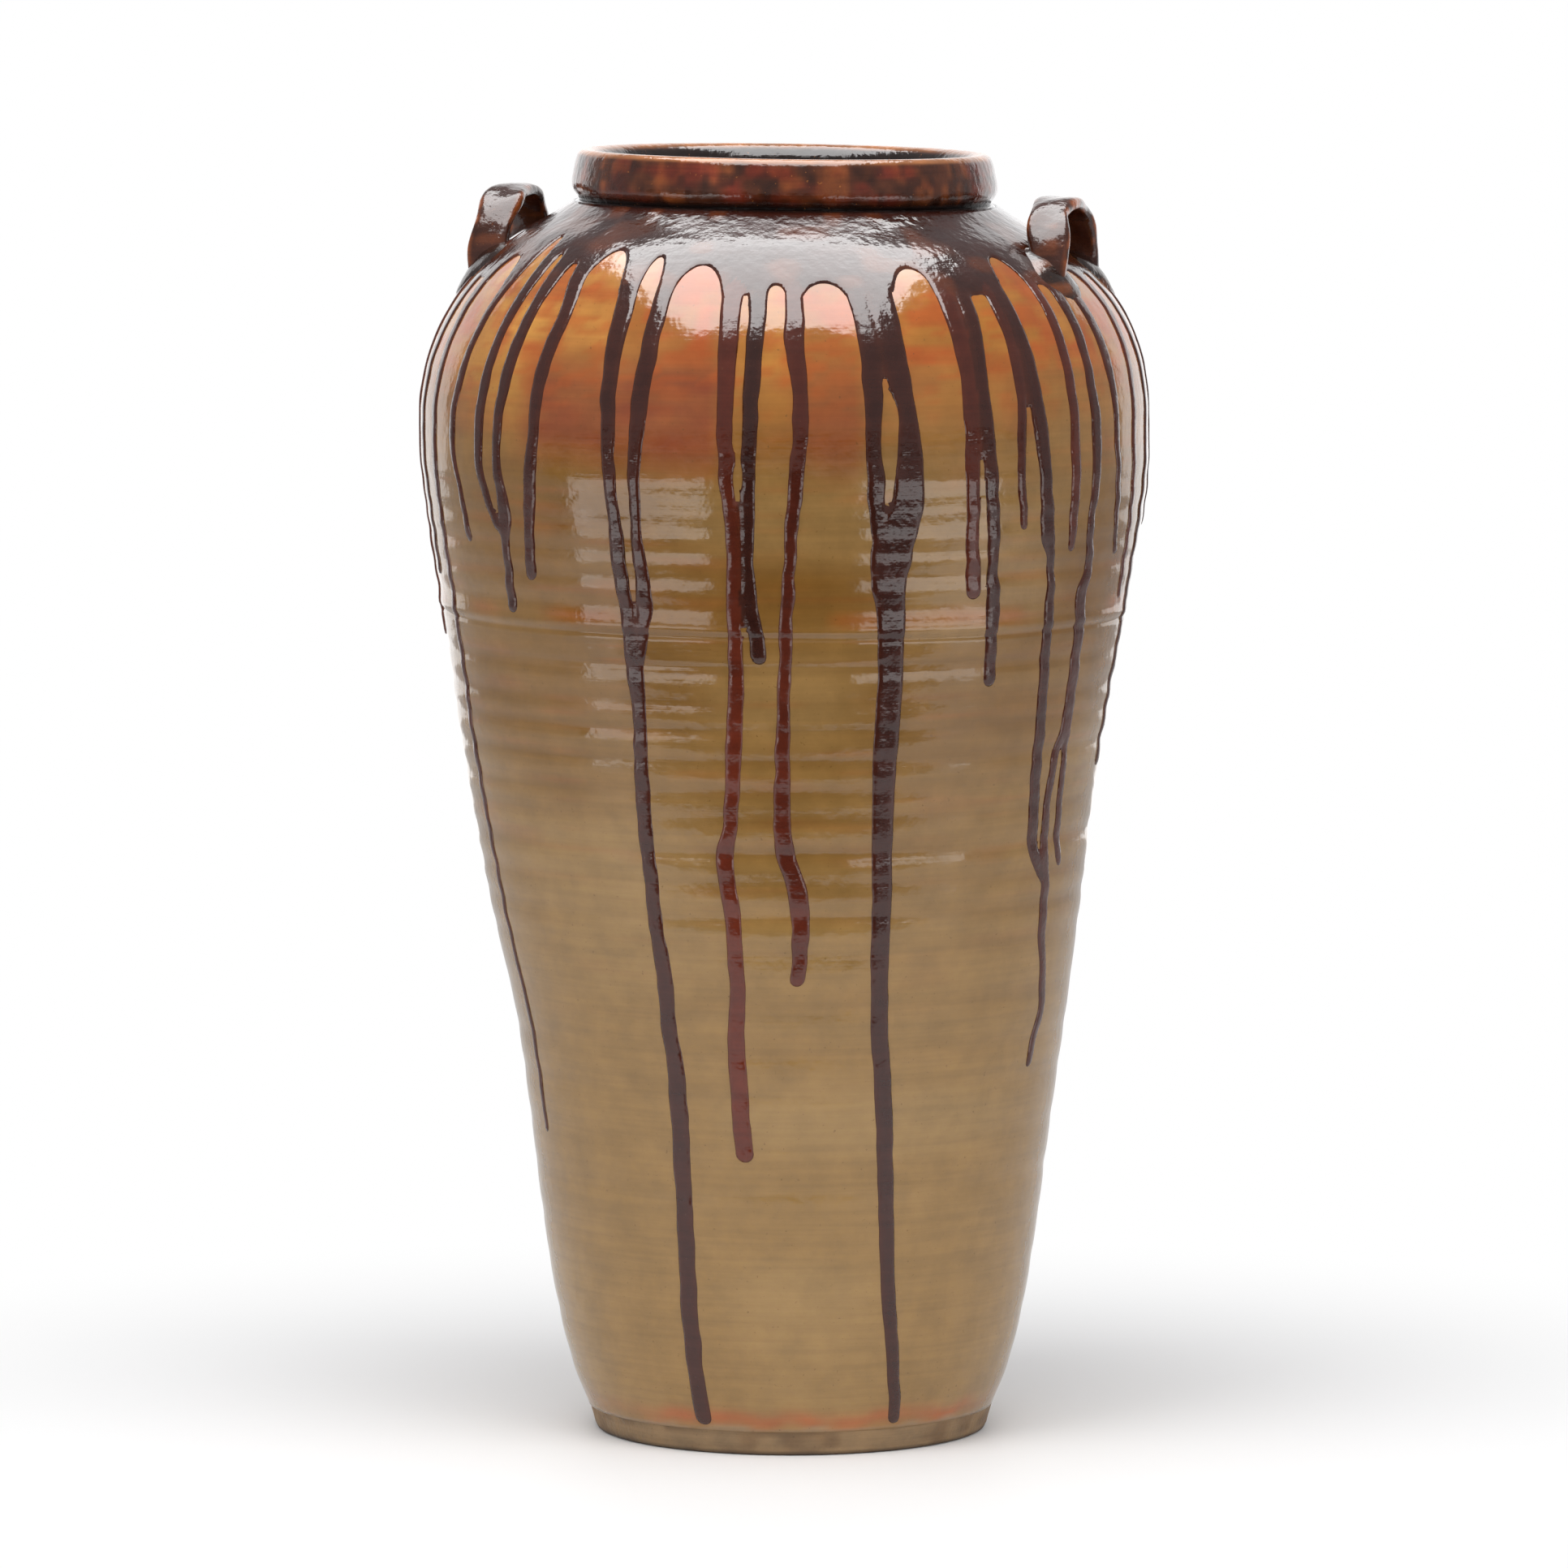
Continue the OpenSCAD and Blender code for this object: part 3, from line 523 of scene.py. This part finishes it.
# Runs on the sides and back, each with its (azimuth, drop below the coat's edge, width) points
BACK_RUNS = [
    [(73, 14, 8), (72, 70, 6), (73, 150, 5)], [(80, 0, 9), (81, 60, 7), (79, 140, 7), (80, 230, 7)],
    [(90, 16, 9), (91, 80, 7), (90, 120, 7)],
    [(99, 4, 10), (98, 70, 8), (100, 190, 8), (99, 330, 8), (101, 470, 7)],
    [(108, 0, 10), (109, 60, 7), (108, 155, 6)], [(114, 0, 9), (115, 50, 6), (115, 105, 6)],
    [(122, 0, 11), (123, 90, 8), (121, 200, 8), (122, 290, 7)], [(131, 0, 10), (130, 60, 7), (131, 130, 7)],
    [(137, 0, 9), (138, 90, 7), (137, 175, 6)],
    [(146, 0, 12), (147, 80, 9), (145, 200, 10), (146, 340, 8), (147, 450, 8), (145, 531, 7)],
    [(155, 0, 10), (154, 60, 7), (155, 115, 7)], [(162, 0, 9), (163, 70, 7), (162, 160, 7)],
    [(170, 0, 11), (169, 90, 8), (171, 210, 7), (170, 270, 7)], [(178, 0, 10), (179, 60, 7), (178, 140, 6)],
    [(185, 0, 10), (184, 100, 8), (186, 220, 8), (185, 380, 8), (183, 500, 7)],
    [(193, 0, 10), (194, 70, 7), (193, 130, 7)], [(199, 0, 8), (200, 60, 6), (199, 110, 5)],
    [(207, 0, 11), (206, 90, 8), (208, 190, 8), (207, 250, 7)], [(216, 0, 10), (217, 70, 7), (216, 145, 7)],
    [(224, 0, 10), (223, 80, 8), (224, 180, 7)], [(232, 0, 9), (231, 60, 7), (232, 115, 6)],
    [(240, 16, 9), (241, 100, 8), (239, 230, 8), (240, 370, 8), (242, 531, 7)],
    [(250, 0, 10), (249, 60, 7), (250, 135, 7)], [(258, 0, 10), (259, 90, 8), (257, 200, 7)],
    [(265, 0, 8), (264, 70, 6), (265, 120, 6)], [(273, 16, 9), (272, 90, 7), (274, 170, 7)],
    [(281, 0, 10), (280, 60, 7), (281, 140, 6)]]
# Pale arches between the front's runs under the dark coat, (first azimuth, last azimuth, height of the top)
ARCHES = [(-70, -63, 553), (-60, -55.5, 562), (-52.5, -50, 556), (-46, -43.8, 552), (-40, -32, 558),
          (-27.4, -24, 556), (-20, -12, 553), (-3.2, -.2, 545), (3.6, 10.4, 546), (20.4, 28, 552),
          (35.2, 38.2, 539), (43.6, 49.6, 556), (52.6, 55.2, 541), (58.8, 61.4, 535), (65, 71, 548)]
BACK_ARCH_GAP, BACK_ARCH_TOP, BACK_ARCH_STEP = 1.7, 546, 5
for number, (here, there) in enumerate(zip(BACK_RUNS, BACK_RUNS[1:])):
    arch_top = BACK_ARCH_TOP + BACK_ARCH_STEP * (number * 3 % 4)
    ARCHES.append((here[0][0] + BACK_ARCH_GAP, there[0][0] - BACK_ARCH_GAP, arch_top))
ARCH_FOOT, ARCH_WIDEN = 536, 0.8

# Heights of the dark coat's edge, of the start of the back's drops, and of the runs' start inside the coat
COAT_EDGE, COAT_EDGE_WAVE, BACK_EDGE, RUN_TOP = 541.0, 6, 545.0, 568.0
TOP_HEIGHT, TOP_WIDER = 500, 1
RUN_THICK, COAT_THICK, EDGE_ROUND, SUNK, JOIN = 0.75, 0.7, 2.2, 0.45, 2.6
# How red the coat is, and the film's grid: cells in degrees and along the wall, and its top
COAT_RED, FILM_COL, FILM_ROW, FILM_TOP = 0.1, 0.4, 1.9, 576.6
# How far a corner of that grid may move onto the edge, and the least slope that the move is worked out with
SNAP, LEAST_SLOPE = 3.0, 0.15
# Runs turn redder from the first of these heights down to the second
REDDER_FROM, REDDEST = 460, 300


def runs():
    """Every run as its redness and its points, from inside the coat down."""
    every = list(FRONT_RUNS)
    for k, points in enumerate(BACK_RUNS):
        every.append((0.15 + 0.6 * ((k * 7) % 5 == 0), [(a, BACK_EDGE - drop, w) for a, drop, w in points]))
    return [(red, [(p[0][0], RUN_TOP, p[0][2] + TOP_WIDER)] + p if p[0][1] > TOP_HEIGHT else p)
            for red, p in every]


def soft_max(a, b, k):
    h = np.clip(0.5 + 0.5 * (a - b) / k, 0, 1)
    return b + (a - b) * h + k * h * (1 - h)


def dark_field(az, z):
    """Distance inside the dark glaze's edge, how red it is, and how much of it is run and not coat."""
    s = arc(z)
    edge = COAT_EDGE + COAT_EDGE_WAVE * wander(az, 4, 71)
    for first, last, top in ARCHES:
        t = turned(az - (first + last) / 2) / ((last - first) / 2 + ARCH_WIDEN)
        arch = ARCH_FOOT + (top - ARCH_FOOT) * np.sqrt(np.clip(1 - t * t, 0, 1))
        edge = np.where(np.abs(t) < 1, np.maximum(edge, arch), edge)
    coat = s - arc(edge)
    field, red, most = coat, np.zeros(coat.shape), np.full(coat.shape, -1e3)
    for k, (redness, points) in enumerate(runs()):
        p = sorted((h, a, w) for a, h, w in points)
        low, high = p[0][0], p[-1][0]
        middle, width = smooth([(h, a) for h, a, w in p]), smooth([(h, w) for h, a, w in p])
        tip = float(width(low)) / 2
        waver = 0.35 * (noise(0 * az + 9 * k, z, 40, 9, 80 + k) - 0.5)
        half = width(z) / 2 + 0.5 * (noise(0 * az + 9 * k, z, 40, 6, 180 + k) - 0.5)
        across = turned(az - middle(z) - waver) * per_degree(z)
        end = arc(low) + tip
        run = np.where(s < end, tip - np.hypot(across, end - s), half - np.abs(across))
        run = np.where(z > high, float(width(high)) / 2 - np.hypot(across, s - arc(high)), run)
        red = np.where(run > most, redness, red)
        most = np.maximum(most, run)
        field = soft_max(field, run, JOIN)
    red = np.where(coat > most + 3, COAT_RED, red)
    return field, red, step(-2, 5, most - coat)


def closed_skin(top, under, cell, start=0):
    """Points, faces and grid places of a sheet over the chosen cells of a grid, closed by its underside."""
    rows, cols = top.shape[:2]
    count = rows * cols
    ids = np.arange(count).reshape(rows, cols)
    i, j = np.nonzero(cell)
    quads = np.stack([ids[i, j], ids[i, j + 1], ids[i + 1, j + 1], ids[i + 1, j]], 1)
    border = {}
    for quad in quads.tolist():
        for u, v in zip(quad, quad[1:] + quad[:1]):
            if (v, u) in border:
                del border[(v, u)]
            else:
                border[(u, v)] = True
    sides = [[v, u, u + count, v + count] for u, v in border]
    faces = np.array(quads.tolist() + (quads[:, ::-1] + count).tolist() + sides)
    used = np.unique(faces)
    new = np.full(2 * count, -1)
    new[used] = np.arange(len(used)) + start
    points = np.concatenate([top.reshape(-1, 3), under.reshape(-1, 3)])[used]
    return points, new[faces].tolist(), used % count


def touched(inside):
    """Cells of a grid with any corner inside."""
    return inside[:-1, :-1] | inside[1:, :-1] | inside[:-1, 1:] | inside[1:, 1:]


def film(name, first, last, replaced):
    """The dark glaze between two azimuths, as a raised skin with rounded edges and its own underside."""
    az = np.arange(first, last + 1e-6, FILM_COL)
    s = np.arange(arc(FOOT_Z), arc(FILM_TOP), FILM_ROW)
    g_az, g_s = np.meshgrid(az, s)
    g_z = height_at(g_s)
    f, red, run = dark_field(g_az, g_z)
    per = per_degree(g_z)

    # Corners that lie just outside move onto the edge
    d_s = np.gradient(f, s, axis=0)
    d_x = np.gradient(f, az, axis=1) / per
    size = np.maximum(d_s ** 2 + d_x ** 2, LEAST_SLOPE)
    move = np.where(f < 0, np.minimum(-f, SNAP), 0)
    n_az = np.clip(g_az + move * d_x / size / per, first, last)
    n_z = height_at(g_s + move * d_s / size)
    cell = touched(f > 0)

    f = np.maximum(f, 0)
    lift = RUN_THICK * run + COAT_THICK * (1 - run)
    lift = lift * np.sqrt(1 - (1 - np.minimum(f / EDGE_ROUND, 1)) ** 2)
    lift = lift * (1 + 0.25 * (noise(n_az, n_z, 3, 8, 75) - 0.5))
    verts, faces, at = closed_skin(surface(n_az, n_z, lift), surface(n_az, n_z, -SUNK), cell)
    f, red, run, a, z = (grid.ravel()[at] for grid in (f, red, run, g_az, g_z))
    tone = blend(plain(DARK, a), REDDISH, red * (0.55 + 0.45 * step(REDDER_FROM, REDDEST, z)) + 0.1)
    tone = blend(tone, THIN_EDGE, 0.3 * np.exp(-f / 1.5))
    tone = blend(tone, BROWN, 0.8 * step(0.5, 0.8, noise(a, z, 6, 7, 76)) * (1 - run))
    make(name, verts, faces, replaced, BLACK, tone)


film("dark_front", -90, 90, ("shoulder_glaze", "front_runs"))
film("dark_back", 90, 270, ("back_runs",))

# Lugs: an upright strap arch, whose hole faces out, on two smeared wads
LUGS = (("right", 76.0), ("left", 256.0))
LUG_REACH, LUG_HALF, LUG_BASE, LUG_TOP, LUG_POWER = 135.0, 36.0, 541.0, 579.0, 2.5
STRAP_W, STRAP_T, FOOT_WIDER, FOOT_THICKER, FOOT_IN, CROWN_IN = 19.0, 7.0, 3, 4, 4, 4.0
STRAP_STEPS, STRAP_SIDES, STRAP_SUNK = 90, 28, 0.04
FOOT_BELOW, FOOT_ABOVE, FLAT_WIDE, FLAT_THICK = 2, 16, 0.72, 0.8
WAD_Z, WAD_R, WAD_WAVE, WAD_RISE, WAD_SUNK = 548.0, 14.5, 2, 3.6, 0.6
WAD_FROM, WAD_TO, WAD_SPREAD = 522.0, 568.0, 15
WAD_COL, WAD_ROW, WAD_UP, WAD_DOWN = 0.6, 1.5, 0.85, 0.72


def powered(v, power):
    """A power that keeps the sign."""
    return np.sign(v) * np.abs(v) ** power


def strap(side, az, seed):
    """A hand-pulled strap, swept along a squared arch that stands on the shoulder."""
    th = np.linspace(-STRAP_SUNK, math.pi + STRAP_SUNK, STRAP_STEPS)
    rise = LUG_TOP - LUG_BASE
    t = LUG_HALF * powered(np.cos(th), 2 / LUG_POWER)
    up = LUG_BASE + rise * powered(np.sin(th), 2 / LUG_POWER)
    dt, du = np.gradient(t), np.gradient(up)
    long = np.hypot(dt, du)
    nt, nu, th, t, up = (v[:, None] for v in (du / long, -dt / long, th, t, up))

    foot = 1 - step(LUG_BASE - FOOT_BELOW, LUG_BASE + FOOT_ABOVE, up)
    phi = np.arange(STRAP_SIDES)[None, :] * 2 * math.pi / STRAP_SIDES
    wide = (STRAP_W + FOOT_WIDER * foot) / 2 * (1 + 0.08 * np.sin(7 * th + seed))
    thick = (STRAP_T + FOOT_THICKER * foot) / 2 * (1 + 0.1 * np.sin(5 * th + 2 * seed))
    v = wide * powered(np.cos(phi), FLAT_WIDE)
    h = thick * powered(np.sin(phi), FLAT_THICK) * (0.86 + 0.3 * np.cos(phi) ** 2)
    h = h + 0.35 * np.sin(3.1 * v / wide + 9 * th + seed)
    out = LUG_REACH - CROWN_IN * (up - LUG_BASE) / rise - FOOT_IN * foot + v + 0.5 * np.sin(4 * th + seed)
    a = math.radians(az)
    along = t + h * nt
    x = out * math.sin(a) + along * math.cos(a)
    y = -out * math.cos(a) + along * math.sin(a)
    z = up + h * nu
    z = z - TILT * x * step(TILT_FROM, TILT_FULL, z)
    points = np.stack([x + lean(z), y, z], -1).reshape(-1, 3) * MM

    ridge = step(0.74, 0.95, np.abs(v) / wide)
    rows = np.arange(STRAP_STEPS)[:, None]
    speck = noise(phi * 57.3 + 0 * rows, rows * 1.4 + 0 * phi, 40, 5, seed + 90)
    worn = 0.85 * ridge * step(0.3, 0.7, speck) + 0.25 * step(0.6, 0.9, speck)
    # The strap's feet are darkened towards near black as painted shade where they meet the shoulder
    tone = blend(blend(plain(STRAP_BROWN, speck), STRAP_ORANGE, worn), STRAP_FOOT_SHADE, 0.7 * foot + 0 * speck)

    n = STRAP_SIDES
    faces = [(i * n + j, i * n + (j + 1) % n, (i + 1) * n + (j + 1) % n, (i + 1) * n + j)
             for i in range(STRAP_STEPS - 1) for j in range(n)]
    faces.append(tuple(range(n))[::-1])
    faces.append(tuple((STRAP_STEPS - 1) * n + j for j in range(n)))
    make(side + "_strap", points, faces, (side + "_lug",), LUG_GLAZE, tone.reshape(-1, 3))


def wads(side, az, seed):
    """Two low pats of clay smeared over the strap's feet."""
    swing = math.degrees(math.atan(LUG_HALF / LUG_REACH))
    spread = swing + WAD_SPREAD
    cols = np.arange(az - spread, az + spread + 0.01, WAD_COL)
    g_az, g_s = np.meshgrid(cols, np.arange(arc(WAD_FROM), arc(WAD_TO), WAD_ROW))
    z = height_at(g_s)
    verts, faces, tones = [], [], []
    for way in (-1, 1):
        x, y = (g_az - (az + way * swing)) * per_degree(z), g_s - arc(WAD_Z)
        reach = WAD_R + WAD_WAVE * np.sin(3 * np.arctan2(y, x) + seed + way)
        f = 1 - np.hypot(x, y * np.where(y > 0, WAD_UP, WAD_DOWN)) / reach
        cell = touched(f > 0)
        f = np.clip(f, 0, 1)
        rough = 0.9 * (noise(g_az, z, 4, 6, seed + 3) - 0.5) * step(0, 0.3, f)
        lift = WAD_RISE * (1 - (1 - f) ** 2) ** 1.3 + rough + step(0, 0.15, f) - 0.35
        start = sum(len(v) for v in verts)
        part, sides, at = closed_skin(surface(g_az, z, lift), surface(g_az, z, -WAD_SUNK), cell, start)
        verts.append(part)
        faces += sides
        spot = noise(g_az, z, 5, 5, seed).ravel()[at]
        tones.append(blend(plain(WAD_BROWN, spot), WAD_SPOT, 0.6 * step(0.55, 0.85, spot)))
    make(side + "_handle_wads", np.concatenate(verts), faces, (side + "_lug_wads",), LUG_GLAZE,
         np.concatenate(tones))


for number, (side, az) in enumerate(LUGS):
    strap(side, az, 3 + number * 4)
    wads(side, az, 11 + number)

# The stage, in metres: a white table, whose far part shows as plain white, and dark ground in front of it
TABLE_EDGE = -0.7
WHITE_FROM, WHITE_FULL = 0.16, 0.62


def sheet_of(name, x0, x1, y0, y1, z, grey, in_view=True):
    mesh = bpy.data.meshes.new(name)
    mesh.from_pydata([(x0, y0, z), (x1, y0, z), (x1, y1, z), (x0, y1, z)], [], [(0, 1, 2, 3)])
    m = bpy.data.materials.new(name)
    m.use_nodes = True
    shader = m.node_tree.nodes["Principled BSDF"]
    shader.inputs["Base Color"].default_value = (grey, grey, grey, 1)
    shader.inputs["Roughness"].default_value = 0.6
    shader.inputs["Specular IOR Level"].default_value = 0.1
    mesh.materials.append(m)
    obj = bpy.data.objects.new(name, mesh)
    bpy.context.scene.collection.objects.link(obj)
    obj.visible_camera = in_view
    return obj


def white_far_off(obj):
    """The camera sees plain white away from the jar's foot; the sheet's own light is unchanged."""
    t = obj.data.materials[0].node_tree
    white = node(t, "ShaderNodeEmission")
    length = node(t, "ShaderNodeVectorMath")
    length.operation = "LENGTH"
    t.links.new(t.nodes.new("ShaderNodeNewGeometry").outputs["Position"], length.inputs[0])
    far = node(t, "ShaderNodeMapRange", From_Min=WHITE_FROM, From_Max=WHITE_FULL)
    far.interpolation_type = "SMOOTHSTEP"
    t.links.new(length.outputs["Value"], far.inputs["Value"])
    seen = node(t, "ShaderNodeMath")
    seen.operation = "MULTIPLY"
    t.links.new(far.outputs[0], seen.inputs[0])
    t.links.new(t.nodes.new("ShaderNodeLightPath").outputs["Is Camera Ray"], seen.inputs[1])
    both = t.nodes.new("ShaderNodeMixShader")
    t.links.new(seen.outputs[0], both.inputs[0])
    t.links.new(t.nodes["Principled BSDF"].outputs[0], both.inputs[1])
    t.links.new(white.outputs[0], both.inputs[2])
    t.links.new(both.outputs[0], t.nodes["Material Output"].inputs["Surface"])


white_far_off(sheet_of("table", -3, 3, TABLE_EDGE, 3.5, 0.0, 0.92))
sheet_of("dark_room", -6, 6, -6, TABLE_EDGE, -0.03, 0.05, in_view=False)


def area(name, at, to, wide, high, radiance, diffuse=True, glossy=True):
    """A soft box of a given radiance, that can be left out of reflections or show in them alone."""
    light = bpy.data.lights.new(name, "AREA")
    light.shape = "RECTANGLE"
    light.size, light.size_y = wide, high
    light.energy = radiance * math.pi * wide * high
    obj = bpy.data.objects.new(name, light)
    obj.location = at
    way = np.array(at) - np.array(to)
    flat = math.hypot(way[0], way[1])
    obj.rotation_euler = (math.atan2(flat, way[2]), 0, math.atan2(way[0], -way[1]))
    obj.visible_diffuse, obj.visible_glossy = diffuse, glossy
    bpy.context.scene.collection.objects.link(obj)


for word, way in (("left", -1), ("right", 1)):
    area("box_" + word, (way * 0.98, -0.95, 0.98), (0, 0, 0.5), 1.1, 1.9, 1.6, glossy=False)
area("box_over", (-0.12, -0.75, 2.0), (-0.02, -0.1, 0.5), 1.3, 1.5, 3.2, glossy=False)
for word, way in (("left", -1), ("right", 1)):
    area("low_" + word, (way * 0.97, -0.94, 0.13), (0, 0, 0.13), 1.1, 0.26, 2.5, diffuse=False)
area("gloss_over", (-0.08, -0.12, 2.0), (-0.08, -0.12, 0.5), 1.6, 1.95, 8.0, diffuse=False)
area("gloss_back", (0, 2.2, 0.9), (0, 0, 0.9), 5.0, 2.4, 1.1, diffuse=False)

# Surroundings: plain white behind the jar for the camera, soft grey for everything else
SOFT_GREY, WHITE = (0.42, 0.42, 0.43), (1, 1, 1)
scene = bpy.context.scene
scene.world = bpy.data.worlds.new("studio")
scene.world.use_nodes = True
tree = scene.world.node_tree
tree.nodes["Background"].inputs["Strength"].default_value = 1.0
ray = tree.nodes.new("ShaderNodeLightPath")
tree.links.new(mixed(tree, ray.outputs["Is Camera Ray"], SOFT_GREY, WHITE),
               tree.nodes["Background"].inputs["Color"])

# Camera, fitted to the photograph
CAMERA_AT, CAMERA_DOWN, LENS, SENSOR = (-0.0033, -4.8, 0.792), 5.81, 236.1, 36.0
camera = bpy.data.cameras.new("view")
camera.lens, camera.sensor_width = LENS, SENSOR
shot = bpy.data.objects.new("view", camera)
shot.location = CAMERA_AT
shot.rotation_euler = (math.radians(90 - CAMERA_DOWN), 0, 0)
scene.collection.objects.link(shot)
scene.camera = shot
scene.view_settings.view_transform = "Standard"
